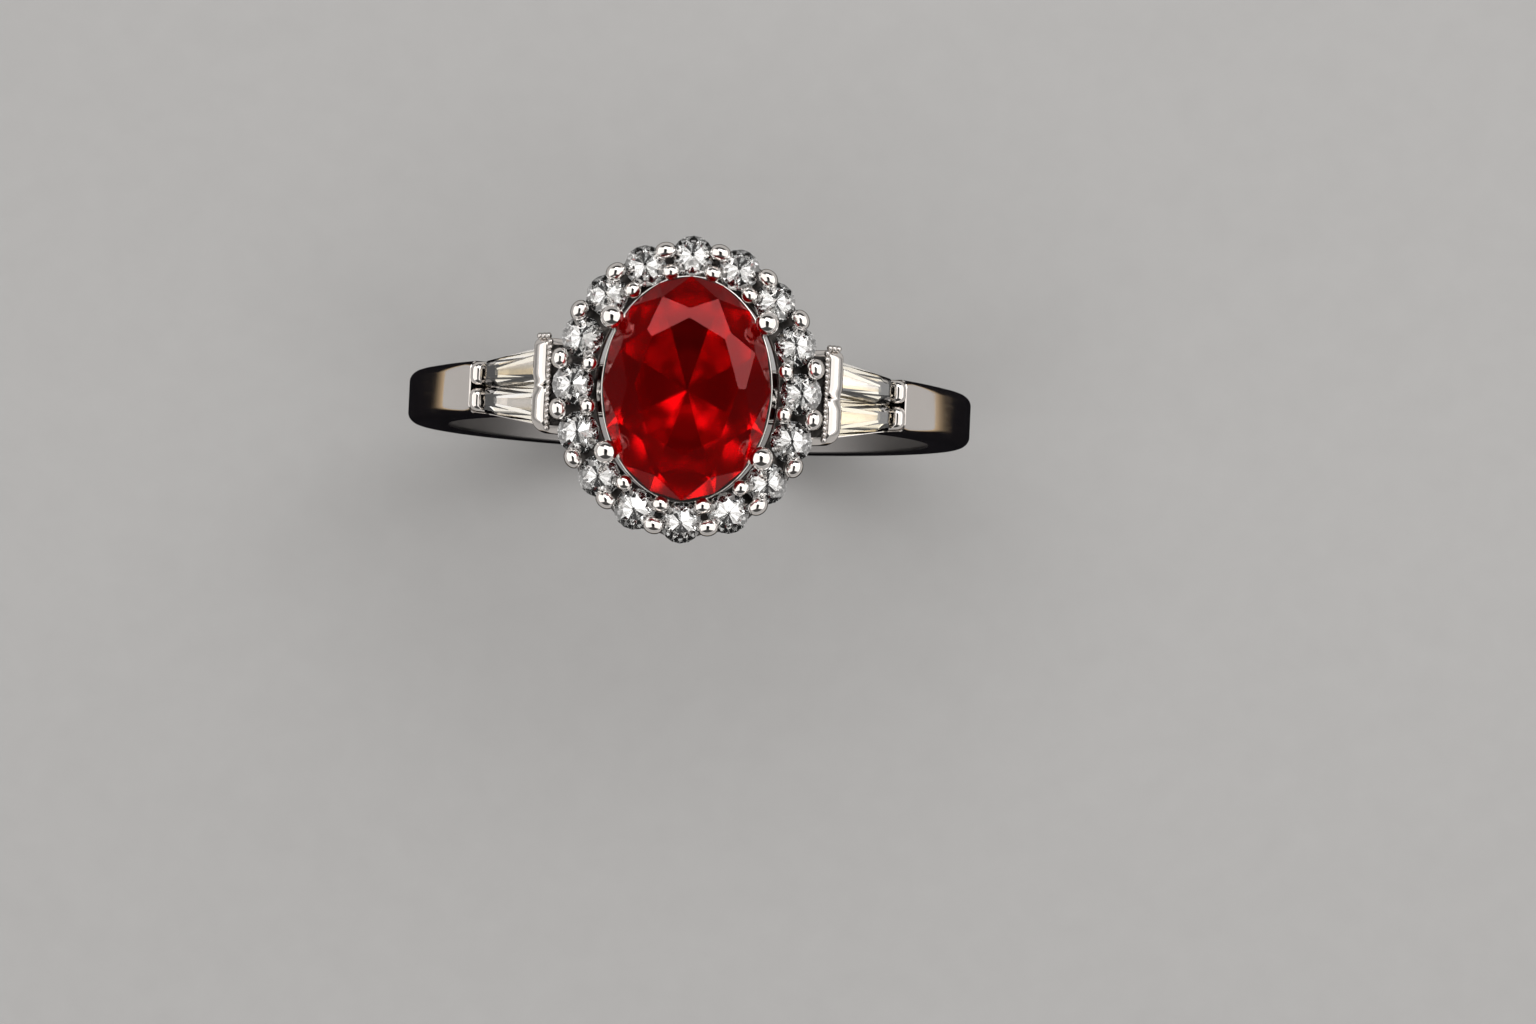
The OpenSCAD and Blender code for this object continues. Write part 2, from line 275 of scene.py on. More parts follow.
def halo_place(part, a, b, z, lean=0.0):
    """A place on an oval round the stone, with X turned outwards and leaned away."""
    t = halo_angle(part)
    turn = math.atan2(HALO_A * math.cos(t), HALO_B * math.sin(t))
    where = Matrix.Translation((a * math.sin(t), b * math.cos(t), z))
    return where @ Matrix.Rotation(turn, 4, "Z") @ Matrix.Rotation(lean, 4, "Y")


def shoulder_point(side, along, across, up):
    """A point given along the slope, across the band and away from the finger."""
    x = BAG_X + along * math.cos(SLOPE) + up * math.sin(SLOPE)
    z = BAG_Z - along * math.sin(SLOPE) + up * math.cos(SLOPE)
    return Vector((side * x, across, z))


# ---- Materials ----


def new_group(name, inputs, outputs):
    """A shader node group with named number inputs and named outputs."""
    group = bpy.data.node_groups.new(name, "ShaderNodeTree")
    for label, value in inputs:
        socket = group.interface.new_socket(label, in_out="INPUT", socket_type="NodeSocketFloat")
        socket.default_value = value
    for label, kind in outputs:
        group.interface.new_socket(label, in_out="OUTPUT", socket_type=kind)
    start = group.nodes.new("NodeGroupInput")
    end = group.nodes.new("NodeGroupOutput")
    return group, start, end


def math_node(tree, kind, first, second):
    """A Math node fed by sockets or plain numbers."""
    node = tree.nodes.new("ShaderNodeMath")
    node.operation = kind
    for socket, value in zip(node.inputs, (first, second)):
        if isinstance(value, (int, float)):
            socket.default_value = value
        else:
            tree.links.new(value, socket)
    return node.outputs[0]


def distance_node(tree, first, second):
    """Distance from an axis, from the two coordinates across it."""
    squares = [math_node(tree, "POWER", value, 2.0) for value in (first, second)]
    return math_node(tree, "SQRT", math_node(tree, "ADD", *squares), 0.0)


def range_node(tree, value, low, high, to_low, to_high):
    """Maps a value from one range to another, held inside it."""
    node = tree.nodes.new("ShaderNodeMapRange")
    for socket, item in zip(node.inputs[:5], (value, low, high, to_low, to_high)):
        if isinstance(item, (int, float)):
            socket.default_value = item
        else:
            tree.links.new(item, socket)
    return node.outputs[0]


def noise_node(tree, place, scale, detail=3.0, distortion=0.0):
    """Noise at a scale, over a coordinate."""
    node = tree.nodes.new("ShaderNodeTexNoise")
    tree.links.new(place, node.inputs["Vector"])
    node.inputs["Detail"].default_value = detail
    node.inputs["Distortion"].default_value = distortion
    if isinstance(scale, (int, float)):
        node.inputs["Scale"].default_value = scale
    else:
        tree.links.new(scale, node.inputs["Scale"])
    return node.outputs["Fac"]


def polish_group():
    """Hand polish: cloudy buffing, hairline marks along the work and a faint rolling of the surface."""
    group, start, end = new_group(
        "hand polish",
        [("Smooth", 0.04), ("Worn", 0.16), ("Cloud Scale", 500.0), ("Hairlines", 0.3)],
        [("Roughness", "NodeSocketFloat"), ("Height", "NodeSocketFloat"), ("Tone", "NodeSocketFloat")],
    )
    place = group.nodes.new("ShaderNodeTexCoord").outputs["Object"]
    cloud = noise_node(group, place, start.outputs["Cloud Scale"], 4.0)
    stretch = group.nodes.new("ShaderNodeMapping")
    stretch.inputs["Scale"].default_value = (900.0, 9000.0, 900.0)
    group.links.new(place, stretch.inputs["Vector"])
    hair = noise_node(group, stretch.outputs[0], 1.0, 2.0, 0.4)
    hair_mask = range_node(group, hair, 0.58, 0.72, 0.0, 1.0)
    hair_amount = math_node(group, "MULTIPLY", hair_mask, start.outputs["Hairlines"])
    wear = math_node(group, "ADD", range_node(group, cloud, 0.35, 0.75, 0.0, 1.0), hair_amount)
    rough = range_node(group, wear, 0.0, 1.3, start.outputs["Smooth"], start.outputs["Worn"])
    group.links.new(rough, end.inputs["Roughness"])
    roll = noise_node(group, place, 260.0, 1.0)
    height = math_node(group, "SUBTRACT", roll, math_node(group, "MULTIPLY", hair_amount, 0.15))
    group.links.new(height, end.inputs["Height"])
    group.links.new(cloud, end.inputs["Tone"])
    return group


def shade_and_pit_group():
    """Cast metal left in the recesses: small pits, and a noise mask for the painted shade that darkens the
    recesses.
    """
    group, start, end = new_group(
        "painted recess shade and pits",
        [("Pit Scale", 6000.0), ("Shade Scale", 900.0)],
        [("Shade Mottle", "NodeSocketFloat"), ("Height", "NodeSocketFloat")],
    )
    place = group.nodes.new("ShaderNodeTexCoord").outputs["Object"]
    cells = group.nodes.new("ShaderNodeTexVoronoi")
    group.links.new(place, cells.inputs["Vector"])
    group.links.new(start.outputs["Pit Scale"], cells.inputs["Scale"])
    # Noise that mottles the painted shade of the recesses.
    recess_shade = noise_node(group, place, start.outputs["Shade Scale"], 5.0)
    group.links.new(range_node(group, recess_shade, 0.4, 0.65, 0.0, 1.0), end.inputs["Shade Mottle"])
    group.links.new(cells.outputs["Distance"], end.inputs["Height"])
    return group


def crystal_group():
    """Faint clouds of colour inside a cut stone."""
    group, start, end = new_group(
        "stone clouds",
        [("Cloud Scale", 400.0)],
        [("Cloud", "NodeSocketFloat")],
    )
    place = group.nodes.new("ShaderNodeTexCoord").outputs["Object"]
    cloud = noise_node(group, place, start.outputs["Cloud Scale"], 2.0, 0.6)
    group.links.new(range_node(group, cloud, 0.3, 0.7, 0.0, 1.0), end.inputs["Cloud"])
    return group


HAND_POLISH = polish_group()
RECESS_SHADE_AND_PITS = shade_and_pit_group()
STONE_CLOUDS = crystal_group()


def new_material(name):
    material = bpy.data.materials.new(name)
    material.use_nodes = True
    tree = material.node_tree
    return material, tree, tree.nodes["Principled BSDF"]


def place_group(tree, group, **values):
    """Puts a node group in a material with its own values. An underscore stands for a space."""
    node = tree.nodes.new("ShaderNodeGroup")
    node.node_tree = group
    for label, value in values.items():
        node.inputs[label.replace("_", " ")].default_value = value
    return node


def two_tone(tree, mask, first, second):
    """Colour that goes from the first to the second with a mask. Each is a colour or a socket."""
    mix = tree.nodes.new("ShaderNodeMix")
    mix.data_type = "RGBA"
    tree.links.new(mask, mix.inputs["Factor"])
    for label, tone in (("A", first), ("B", second)):
        if isinstance(tone, tuple):
            mix.inputs[label].default_value = (*tone, 1)
        else:
            tree.links.new(tone, mix.inputs[label])
    return mix.outputs["Result"]


def add_bump(tree, shader, height, depth, strength):
    """Bump from a height, with its depth in millimetres."""
    bump = tree.nodes.new("ShaderNodeBump")
    bump.inputs["Strength"].default_value = strength
    bump.inputs["Distance"].default_value = depth * MM
    tree.links.new(height, bump.inputs["Height"])
    tree.links.new(bump.outputs[0], shader.inputs["Normal"])


def polished_metal(name, bright, shade, smooth, worn, hairlines):
    """Rhodium-bright white gold with its buffing marks."""
    material, tree, shader = new_material(name)
    shader.inputs["Metallic"].default_value = 1.0
    polish = place_group(tree, HAND_POLISH, Smooth=smooth, Worn=worn, Hairlines=hairlines)
    tree.links.new(two_tone(tree, polish.outputs["Tone"], bright, shade), shader.inputs["Base Color"])
    tree.links.new(polish.outputs["Roughness"], shader.inputs["Roughness"])
    add_bump(tree, shader, polish.outputs["Height"], 0.004, 0.25)
    return material


def band_metal(name):
    """Polished outside and satin where the band touches the finger, with painted shade darkening the metal
    inside the bore.
    """
    material, tree, shader = new_material(name)
    shader.inputs["Metallic"].default_value = 1.0
    polish = place_group(tree, HAND_POLISH, Smooth=0.05, Worn=0.14, Hairlines=0.5)
    axes = tree.nodes.new("ShaderNodeSeparateXYZ")
    tree.links.new(tree.nodes.new("ShaderNodeTexCoord").outputs["Object"], axes.inputs[0])
    from_axis = distance_node(tree, axes.outputs["X"], axes.outputs["Z"])
    outside = range_node(tree, from_axis, (BORE_R + 0.03) * MM, (BORE_R + 0.12) * MM, 0.0, 1.0)
    bright = two_tone(tree, polish.outputs["Tone"], (0.92, 0.875, 0.84), (0.86, 0.815, 0.78))
    # Painted shade: the metal inside the bore is darkened to grey, standing for the shade inside the ring;
    # the satin roughness below is the real finish.
    tree.links.new(two_tone(tree, outside, (0.30, 0.29, 0.285), bright), shader.inputs["Base Color"])
    satin = math_node(tree, "MULTIPLY", math_node(tree, "SUBTRACT", 1.0, outside), 0.3)
    tree.links.new(math_node(tree, "ADD", polish.outputs["Roughness"], satin), shader.inputs["Roughness"])
    add_bump(tree, shader, polish.outputs["Height"], 0.004, 0.25)
    return material


def recess_metal(name):
    """White gold between the stones, painted near-black as shade, mottled darker and rougher by a noise
    mask.
    """
    material, tree, shader = new_material(name)
    shader.inputs["Metallic"].default_value = 1.0
    recess_shade = place_group(tree, RECESS_SHADE_AND_PITS)
    # Painted shade: the base colour is near-black, darker still where the noise mask is high, which also
    # makes the metal rougher.
    tree.links.new(
        two_tone(tree, recess_shade.outputs["Shade Mottle"], (0.16, 0.15, 0.145), (0.02, 0.019, 0.018)),
        shader.inputs["Base Color"],
    )
    tree.links.new(range_node(tree, recess_shade.outputs["Shade Mottle"], 0, 1, 0.22, 0.5), shader.inputs["Roughness"])
    add_bump(tree, shader, recess_shade.outputs["Height"], 0.01, 0.5)
    return material


def cut_stone(name, first, second, ior, depth_colour=None, depth=0.0):
    """A clear cut stone. depth_colour is what is left of white light after it crosses the stone."""
    material, tree, shader = new_material(name)
    shader.inputs["Transmission Weight"].default_value = 1.0
    shader.inputs["Roughness"].default_value = 0.0
    shader.inputs["IOR"].default_value = ior
    clouds = place_group(tree, STONE_CLOUDS)
    tree.links.new(two_tone(tree, clouds.outputs["Cloud"], first, second), shader.inputs["Base Color"])
    if depth_colour:
        body = tree.nodes.new("ShaderNodeVolumeAbsorption")
        body.inputs["Color"].default_value = (*depth_colour, 1)
        body.inputs["Density"].default_value = depth
        tree.links.new(body.outputs[0], tree.nodes["Material Output"].inputs["Volume"])
    return material, tree, shader


def red_stone():
    """The oval stone: soft inside, a crisp polished skin and a faint painted red glow from emission."""
    material, tree, shader = cut_stone(
        "red oval crystal", (0.90, 0.006, 0.010), (0.80, 0.004, 0.008), 1.77, (0.90, 0.02, 0.03), 200.0
    )
    shader.inputs["Roughness"].default_value = 0.12
    shader.inputs["Specular Tint"].default_value = (1.0, 0.06, 0.06, 1)
    shader.inputs["Coat Weight"].default_value = 0.25
    shader.inputs["Coat Roughness"].default_value = 0.0
    shader.inputs["Coat IOR"].default_value = 1.77
    # Painted glow: a faint red emission that lights the stone from within, whatever the lamps do.
    shader.inputs["Emission Color"].default_value = (1.0, 0.004, 0.006, 1)
    shader.inputs["Emission Strength"].default_value = 0.015
    return material


def round_stone():
    return cut_stone("round brilliant crystal", (0.98, 0.98, 0.97), (0.95, 0.95, 0.94), 2.42)[0]


def tapered_stone():
    """Clear stone with faint painted champagne stripes along its length, standing in for the warm facet
    reflections of its step cut.
    """
    material, tree, shader = cut_stone("tapered baguette crystal", (1, 1, 1), (1, 1, 1), 2.2)
    # Painted reflection: noise stripes of champagne tint that run along the stone.
    stretch = tree.nodes.new("ShaderNodeMapping")
    stretch.inputs["Scale"].default_value = (60.0, 3200.0, 60.0)
    tree.links.new(tree.nodes.new("ShaderNodeTexCoord").outputs["Object"], stretch.inputs["Vector"])
    reflection_stripes = range_node(tree, noise_node(tree, stretch.outputs[0], 1.0, 1.0), 0.42, 0.6, 0.0, 1.0)
    tone = two_tone(tree, reflection_stripes, (0.99, 0.98, 0.96), (0.95, 0.87, 0.69))
    tree.links.new(tone, shader.inputs["Base Color"])
    return material


def paper_floor(name):
    """Pale seamless paper."""
    material, tree, shader = new_material(name)
    place = tree.nodes.new("ShaderNodeTexCoord").outputs["Object"]
    fibre = noise_node(tree, place, 900.0, 4.0)
    tone = two_tone(tree, fibre, (0.27, 0.266, 0.262), (0.29, 0.286, 0.282))
    tree.links.new(tone, shader.inputs["Base Color"])
    shader.inputs["Roughness"].default_value = 0.85
    shader.inputs["Specular IOR Level"].default_value = 0.0
    add_bump(tree, shader, fibre, 0.02, 0.1)
    return material


BAND_METAL = band_metal("polished band")
CLAW_METAL = polished_metal("burnished claws", (0.95, 0.91, 0.88), (0.90, 0.86, 0.83), 0.03, 0.10, 0.2)
# Painted shade: a darker copy of the polished white gold, mottled down to mid grey by the buffing-cloud
# noise, for the milgrain and the seat rail.
SHADED_GRAIN_METAL = polished_metal("beaded edge metal", (0.86, 0.82, 0.79), (0.50, 0.47, 0.45), 0.08, 0.22, 0.2)
RECESS_METAL = recess_metal("recessed metal")
OVAL_RED = red_stone()
ROUND_CLEAR = round_stone()
BAG_CLEAR = tapered_stone()

# ---- Band ----


def rise_step(t):
    """Smooth step from 0 to 1."""
    t = min(max(t, 0.0), 1.0)
    return t * t * (3 - 2 * t)


def band_out(turn):
    """Outside radius of the band at a turn from the top, in degrees."""
    return BAND_R + RISE * rise_step((RISE_START - turn) / (RISE_START - RISE_TOP))


def plane_turn(r):
    """Turn at which a radius meets the square end of the full band."""
    reach_along = MOUNT_L + BAG_X * math.cos(SLOPE) - BAG_Z * math.sin(SLOPE)
    return SLOPE + math.asin(reach_along / r)


def rail_turn(r, y):
    """Turn at which a point of the band meets the gallery rail."""
    rail_a = reach("lower_gallery_rail", 0)
    rail_b = reach("lower_gallery_rail", 1)
    return math.asin(rail_a * math.sqrt(1 - (y / rail_b) ** 2) / r)


def band_section(r_out, corner):
    """Section of the band as (radius, across) points, slightly domed outside and soft inside."""
    half = BAND_W / 2
    outline = round_section(BORE_R, r_out, -half, half, INNER_EDGE, corner, 7)
    return [(r - DOME * (y / half) ** 2 * (r - BORE_R) / (r_out - BORE_R), y) for r, y in outline]


def band_loop(section, turn_of, side=1):
    """The band's section, put at a turn from the top that may vary over the section."""
    points = []
    for r, y in section:
        turn = turn_of(r, y)
        points.append(Vector((side * r * math.sin(turn), y, r * math.cos(turn))))
    return points


def make_band():
    """One loft from shoulder to shoulder, thin under the shoulder pieces and full from their outer ends."""
    thin = band_section(UNDER_R, INNER_EDGE)
    half_ring = [(thin, rail_turn)]
    for turn in range(18, 44, 2):
        half_ring.append((thin, lambda r, y, t=turn: math.radians(t)))
    half_ring.append((thin, lambda r, y: plane_turn(r)))
    corner = 0.3
    start = band_section(band_out(SHOULDER_END), corner)
    eased = [(BORE_R + (r - BORE_R) * 0.985, y * 0.985) for r, y in start]
    half_ring.append((eased, lambda r, y: plane_turn(r)))
    half_ring.append((start, lambda r, y: plane_turn(r) + 0.004))
    steps = 90
    first_turn = SHOULDER_END + 0.4
    for k in range(1, steps + 1):
        turn = first_turn + (180 - first_turn) * k / steps
        section = band_section(band_out(turn), corner + 0.06 * min(k / 20, 1))
        half_ring.append((section, lambda r, y, t=turn: math.radians(t)))
    loops = [band_loop(section, turn_of) for section, turn_of in half_ring]
    mirrored = [band_loop(section, turn_of, -1) for section, turn_of in half_ring[:-1]]
    shell = Shell()
    shell.loft(loops + mirrored[::-1])
    stand_for(shell, "shank_band", "shank", BAND_METAL, 30)


# ---- Head ----


def oval_sweep(shell, half_w, half_l, section, stations):
    """Sweeps (offset, height) points round an oval."""
    loops = []
    for k in range(stations):
        t = 2 * math.pi * k / stations
        across, along = math.sin(t), math.cos(t)
        loops.append([Vector(((half_w + o) * across, (half_l + o) * along, z)) for o, z in section])
    shell.loft(loops, around=True)


def make_seat_rail():
    low = floor_of("seat_rail", 2)
    high = reach("seat_rail", 2)
    shell = Shell()
    oval_sweep(shell, OVAL_A, OVAL_B, round_section(-SEAT_IN, SEAT_OUT, low, high, 0.1, 0.05, 4), 192)
    stand_for(shell, "seat_rail_wire", "seat_rail", SHADED_GRAIN_METAL)


def make_gallery_rail():
    node = "lower_gallery_rail"
    section = round_section(-RAIL_T, 0, floor_of(node, 2), reach(node, 2), 0.2, 0.2, 5)
    shell = Shell()
    oval_sweep(shell, reach(node, 0), reach(node, 1), section, 160)
    stand_for(shell, "gallery_rail_wire", "lower_gallery_rail", BAND_METAL)


def make_halo_plate():
    """A scalloped oval plate with a drilled seat under each round stone."""
    out_a = reach("halo_plate", 0)
    out_b = reach("halo_plate", 1)
    in_a, in_b = PLATE_IN
    loops = []
    stations = 256
    for k in range(stations):
        t = 2 * math.pi * k / stations
        wave = (1 - math.cos(2 * math.pi * STONES * halo_part(t))) / 2
        loop = []
        for s, z in round_section(0, 1, PLATE_LOW, PLATE_TOP, 0.08, 0.12, 4):
            a = in_a + s * (out_a - in_a - SCALLOP * wave)
            b = in_b + s * (out_b - in_b - SCALLOP * wave)
            loop.append(Vector((a * math.sin(t), b * math.cos(t), z)))
        loops.append(loop)
    plate_shell = Shell()
    plate_shell.loft(loops, around=True)
    # The plate takes the recess metal, painted near-black as shade between the stones.
    plate = stand_for(plate_shell, "halo_plate_drilled", "halo_plate", RECESS_METAL)
    drill = Shell()
    for k in range(STONES):
        place = halo_place(k / STONES, HALO_A, HALO_B, HALO_Z, HALO_LEAN)
        hole = [(HOLE_R, -2), (HOLE_R, -0.5), (STONE_ROOM_R, -0.36), (STONE_ROOM_R, 0.6)]
        drill.turned(hole, place, 32)
    cutter = bpy.data.objects.new("seat drills", drill.mesh("seat drills"))
    scene.collection.objects.link(cutter)
    face_outwards(cutter)
    cut = plate.modifiers.new("seats", "BOOLEAN")
    cut.operation = "DIFFERENCE"
    cut.solver = "EXACT"
    cut.object = cutter
    depsgraph = bpy.context.evaluated_depsgraph_get()
    drilled = bpy.data.meshes.new_from_object(plate.evaluated_get(depsgraph))
    plate.modifiers.clear()
    plate.data = drilled
    bpy.data.objects.remove(cutter)
    drilled.shade_smooth()
    drilled.set_sharp_from_angle(angle=math.radians(30))


def make_claws():
    for number in range(1, 5):
        sx, sy = corner_signs(number)
        foot = Vector((CLAW_FOOT.x * sx, CLAW_FOOT.y * sy, CLAW_FOOT.z))
        head = Vector((CLAW_HEAD.x * sx, CLAW_HEAD.y * sy, CLAW_HEAD.z))
        lean = head - foot
        place = Matrix.Translation(foot) @ lean.to_track_quat("Z", "Y").to_matrix().to_4x4()
        length = lean.length
        neck = -math.degrees(math.acos(CLAW_R / CLAW_HEAD_R))
        profile = [(CLAW_R * 0.95, 0.02), (CLAW_R * 0.93, length * 0.5), (CLAW_R, length * 0.75)]
        profile += arc(0, length, CLAW_HEAD_R, neck, 88, 16)
        shell = Shell()
        shell.turned(profile, place, 48)
        stand_for(shell, f"claw_{number}_round", f"claw_{number}", CLAW_METAL, 60)


def bead_profile(r, height):
    """A post that swells into a round head."""
    return [(r * 0.86, 0), (r * 0.86, height * 0.35), (r, height * 0.8)] + arc(0, height, r, 0, 86, 9)


def make_beads():
    """Beads in the gaps between the round stones. Claws stand in four of the inner gaps."""
    inner = Shell()
    outer = Shell()
    dice = random.Random(7)
    height = BEAD_Z - PLATE_TOP
    uneven = 0.05
    for k in range(STONES):
        part = (k + 0.5) / STONES
        if k not in CLAW_GAPS:
            place = halo_place(part, *INNER_BEADS, PLATE_TOP)
            post = bead_profile(INNER_BEAD_R, height - dice.uniform(0, uneven))
            inner.turned(post, place, 28, (0.94, 1.02))
        place = halo_place(part, *OUTER_BEADS, PLATE_TOP)
        post = bead_profile(OUTER_BEAD_R, height - dice.uniform(0, uneven))
        outer.turned(post, place, 32, (0.86, 1.06))
    stand_for(inner, "inner_beads_round", "inner_beads", CLAW_METAL, 60)
    stand_for(outer, "outer_beads_round", "outer_beads", CLAW_METAL, 60)


# ---- Shoulders ----


def end_easing(across, half, r):
    """How far a bar draws in near its ends, for a rounded end of a given radius."""
    past = abs(across) - (half - r)
    if past <= 0:
        return 0.0
    return r - math.sqrt(max(r * r - past * past, 0.0))


def make_bar(name, node, side, start, thick, centre, width, low, high, ends, edges, notch=0.0):
    """A bar across the shoulder with rounded edges and ends, and a nick on its head side.

    ends are the radii of the front and back ends, and edges those of the head side and the outer side.
    """
    half = width / 2
    rows = 56
    loops = []
    for k in range(rows + 1):
        across = half * math.sin(math.pi * (k / rows - 0.5))
        ease = end_easing(across, half, ends[0] if across < 0 else ends[1])
        nick = notch * math.exp(-((across / 0.055) ** 2))
        dip = notch * 0.3 * math.exp(-((across / 0.25) ** 2))
        shrink = min(ease * 0.4, thick * 0.24)
        top = high - ease - dip
        section = round_section(start + shrink + nick, start + thick - shrink, low, top, *edges, 6)
        corner = []
        for along, up in section:
            corner.append(shoulder_point(side, along, centre + across, up))
        loops.append(corner)
    shell = Shell()
    shell.loft(loops)
    stand_for(shell, name, node, BAND_METAL, 50)


def make_bars():
    for word, side in SIDES:
        make_bar(
            f"{word}_wide_bar_round", f"{word}_wide_bar", side,
            -WIDE_BAR_T, WIDE_BAR_T, 0, WIDE_BAR_W, -2.1, BAR_TOP, (0.6, 0.3), (0.16, 0.12), 0.26,
        )
        for place, sign in (("front", -1), ("back", 1)):
            make_bar(
                f"{word}_end_bar_{place}_round", f"{word}_end_bar_{place}", side,
                BAG_L, END_BAR_T, sign * (END_BAR_W + END_BAR_GAP) / 2, END_BAR_W, -1.1, BAR_TOP,
                (0.3, 0.3), (0.2, 0.2),
            )


def make_beaded_edges():
    """A row of grains along the head side of each wide bar, turned round its back end."""
    half = (WIDE_BAR_W - 0.3) / 2
    pitch = 2 * half / (GRAINS - 1)
    turn = half + 0.2
    dice = random.Random(11)
    for word, side in SIDES:
        spots = [(0.0, -half + k * pitch) for k in range(GRAINS)]
        spots += [(GRAIN_R + k * pitch, turn) for k in range(END_GRAINS)]
        shell = Shell()
        for along, across in spots:
            middle = shoulder_point(side, along - WIDE_BAR_T - GRAIN_R, across, GRAIN_UP)
            r = GRAIN_R * dice.uniform(0.9, 1.0)
            shell.turned(arc(0, 0, r, -86, 86, 10), Matrix.Translation(middle), 20)
        stand_for(shell, f"{word}_milgrain", f"{word}_beaded_edge", SHADED_GRAIN_METAL, 60)


def finish_cad_nodes():
    """Gives the CAD nodes that stay their finish."""
    for name, obj in frame["nodes"].items():
        if name == "centre_stone":
            finish = OVAL_RED
        elif name.startswith("halo_stone"):
            finish = ROUND_CLEAR
        elif "baguette" in name:
            finish = BAG_CLEAR
        elif name.endswith("_bridge"):
            # The bridges take the recess metal, painted near-black as shade.
            finish = RECESS_METAL
        else:
            finish = BAND_METAL
        for slot in obj.material_slots:
            slot.material = finish
        if name.endswith("_bridge") or name.endswith("_mount"):
            soften(obj, 0.04)


# ---- Stage ----


def make_floor():
    top = -BAND_R
    size = 900
    shell = Shell()
    shell.loft(
        [
            [(-size, -size, z), (size, -size, z), (size, size, z), (-size, size, z)]
            for z in (top - 2, top)
        ]
    )
    floor = bpy.data.objects.new("floor", shell.mesh("floor"))
    scene.collection.objects.link(floor)
    face_outwards(floor)
    floor.data.materials.append(paper_floor("pale paper"))
    return floor


def soft_box(name, around, from_top, distance, wide, tall, glow, colour=(1, 1, 1)):
    """A flat light of an even glow that faces the head.

    It stands at an angle round Z from +X, at an angle down from +Z and at a distance.
    """
    turn = math.radians(around)
    lean = math.radians(from_top)
    away = Vector((math.sin(lean) * math.cos(turn), math.sin(lean) * math.sin(turn), math.cos(lean)))
    lamp = bpy.data.lights.new(name, "AREA")
    lamp.shape = "RECTANGLE"
    lamp.size = wide * MM
    lamp.size_y = tall * MM
    lamp.energy = glow * math.pi * wide * tall * MM * MM
    lamp.color = colour
    obj = bpy.data.objects.new(name, lamp)
    scene.collection.objects.link(obj)
    obj.location = (Vector((0, 0, OVAL_Z)) + away * distance) * MM
    obj.rotation_euler = away.to_track_quat("Z", "Y").to_euler()
    obj.visible_camera = False
    return obj


def keep_off(lamp, names):
    """Keeps a light off some CAD nodes."""
    group = bpy.data.collections.new(lamp.name + " keeps off")
    for name in names:
        group.objects.link(frame["nodes"][name])
    lamp.light_linking.receiver_collection = group
    for entry in group.collection_objects:
        entry.light_linking.link_state = "EXCLUDE"


def floor_fill(floor):
    """A wide soft light from above that reaches the floor and nothing else."""
    lamp = bpy.data.lights.new("floor fill", "SUN")
    lamp.energy = 2.4
    lamp.angle = math.radians(70)
    obj = bpy.data.objects.new("floor fill", lamp)
    scene.collection.objects.link(obj)
    obj.visible_camera = False
    group = bpy.data.collections.new("floor fill reaches")
    group.objects.link(floor)
    obj.light_linking.receiver_collection = group


def studio_world():
    """Grey room that is dark straight above and a little brighter round the horizon."""
    world = bpy.data.worlds.new("studio")
    scene.world = world
    world.use_nodes = True
    tree = world.node_tree
    axes = tree.nodes.new("ShaderNodeSeparateXYZ")
    tree.links.new(tree.nodes.new("ShaderNodeTexCoord").outputs["Generated"], axes.inputs[0])
    room = range_node(tree, axes.outputs["Z"], 0.86, 0.96, 0.06, 0.02)
    horizon = range_node(tree, axes.outputs["Z"], 0.10, 0.15, 0.5, 0.0)
    shade = tree.nodes["Background"]
    shade.inputs["Color"].default_value = (1.0, 0.985, 0.97, 1)
    tree.links.new(math_node(tree, "ADD", room, horizon), shade.inputs["Strength"])


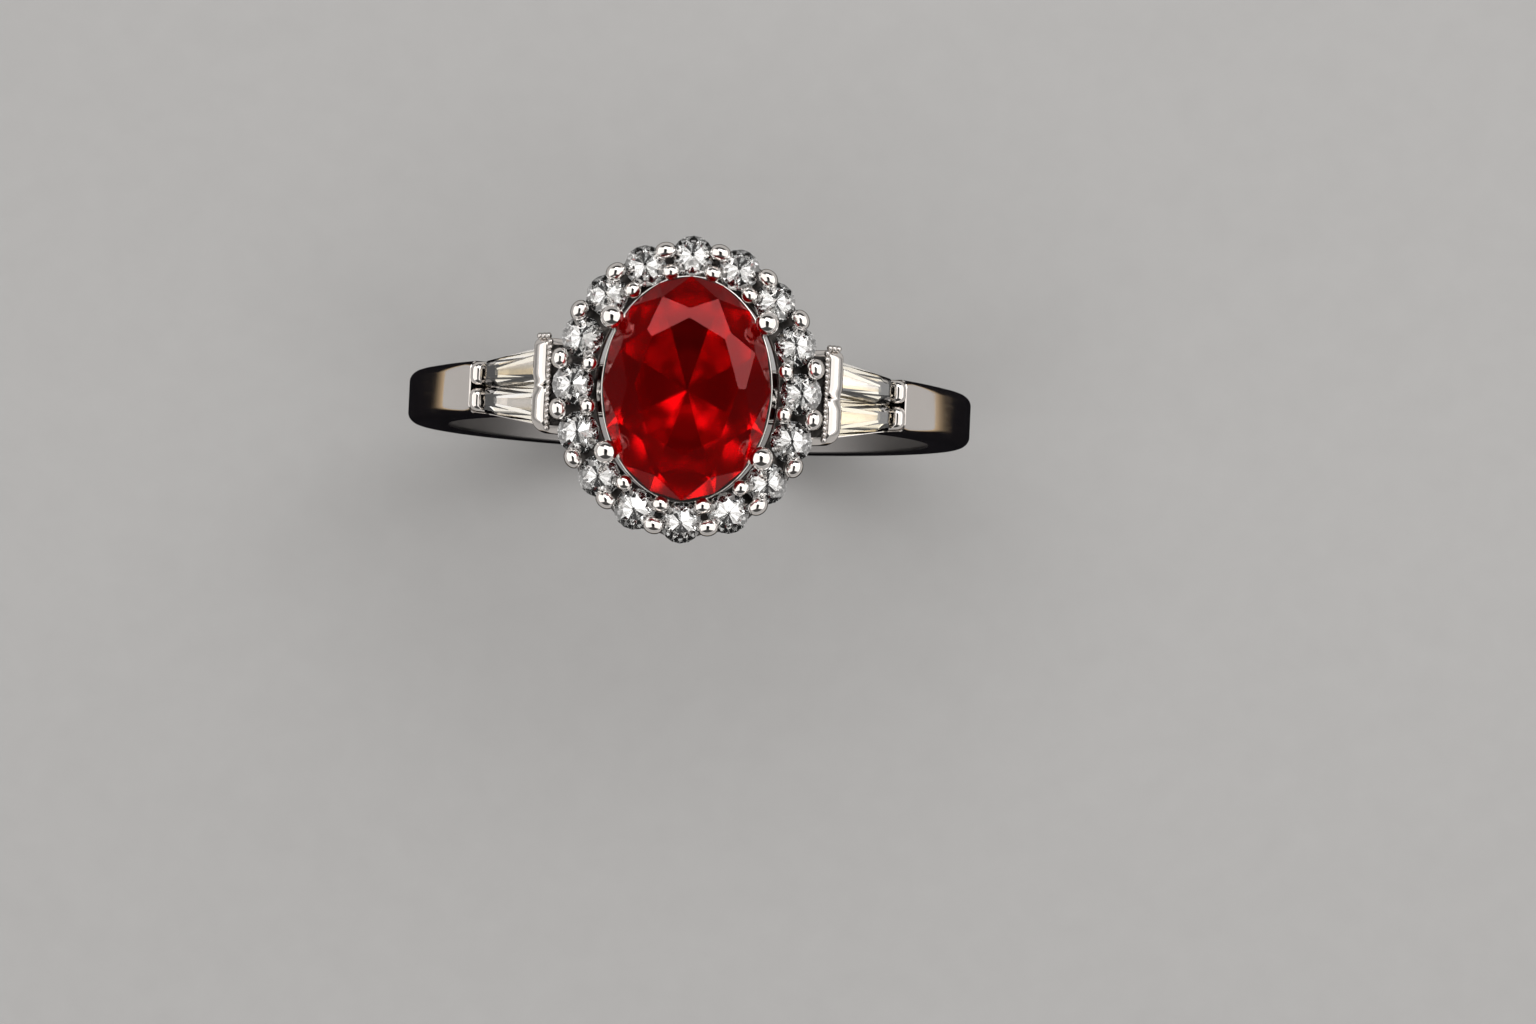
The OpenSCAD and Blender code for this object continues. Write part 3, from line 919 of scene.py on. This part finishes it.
def dark_card():
    """Black card with a warm rim under the ring. Only reflections and the stones see it, so it paints dark
    reflections where the camera sees pale floor.
    """
    black_r = 23
    card_r = 25.5
    shell = Shell()
    shell.loft(
        [
            ring_of(lambda a: Vector((r * math.cos(a), r * math.sin(a), 0.005 - BAND_R)), 96)
            for r in (card_r, card_r - 1)
        ]
    )
    card = bpy.data.objects.new("dark card", shell.mesh("dark card"))
    scene.collection.objects.link(card)
    material, tree, shader = new_material("dark reflection card")
    place = tree.nodes.new("ShaderNodeTexCoord").outputs["Object"]
    card_noise = noise_node(tree, place, 1500.0, 3.0)
    black = two_tone(tree, card_noise, (0.004, 0.004, 0.005), (0.012, 0.011, 0.013))
    axes = tree.nodes.new("ShaderNodeSeparateXYZ")
    tree.links.new(place, axes.inputs[0])
    from_middle = distance_node(tree, axes.outputs["X"], axes.outputs["Y"])
    fade = range_node(tree, from_middle, black_r * MM, card_r * MM, 0.0, 1.0)
    tree.links.new(two_tone(tree, fade, black, (0.60, 0.45, 0.28)), shader.inputs["Base Color"])
    shader.inputs["Roughness"].default_value = 1.0
    shader.inputs["Specular IOR Level"].default_value = 0.0
    card.data.materials.append(material)
    # Hidden from the camera, shadows and diffuse light, the card only paints dark reflections into the
    # metal and the stones.
    card.visible_camera = False
    card.visible_shadow = False
    card.visible_diffuse = False


def light_stage(floor):
    floor_fill(floor)
    distance = 170
    soft_box("key", 70, 36, distance, 211, 98, 2.0)
    for name, around in (("right panel", 0), ("left panel", 180)):
        panel = soft_box(name, around, 52, distance, 300, 247, 1.1, (1, 0.975, 0.95))
        keep_off(panel, ["centre_stone"])
    studio_world()
    dark_card()


def make_camera():
    """Stands nearly over the ring, a little towards its front, rolled a little to one side."""
    elevation = math.radians(87)
    roll = math.radians(2.56)
    away = 250
    view_w = 54.53
    aim_right = 2.886
    aim_down = 4.398
    back = Vector((0, -math.cos(elevation), math.sin(elevation)))
    level = Vector((1, 0, 0))
    upright = back.cross(level)
    right = level * math.cos(roll) + upright * math.sin(roll)
    up = upright * math.cos(roll) - level * math.sin(roll)
    aim = Vector((0, 0, OVAL_Z)) + right * aim_right - up * aim_down
    lens = bpy.data.cameras.new("camera")
    lens.sensor_width = 36
    lens.lens = lens.sensor_width * away / view_w
    lens.clip_start = 0.001
    camera = bpy.data.objects.new("camera", lens)
    scene.collection.objects.link(camera)
    turn = Matrix((right, up, back)).transposed().to_4x4()
    camera.matrix_world = Matrix.Translation((aim + back * away) * MM) @ turn
    scene.camera = camera


make_camera()
make_band()
make_seat_rail()
make_gallery_rail()
make_halo_plate()
make_claws()
make_beads()
make_bars()
make_beaded_edges()
finish_cad_nodes()
light_stage(make_floor())
scene.view_settings.view_transform = "Standard"
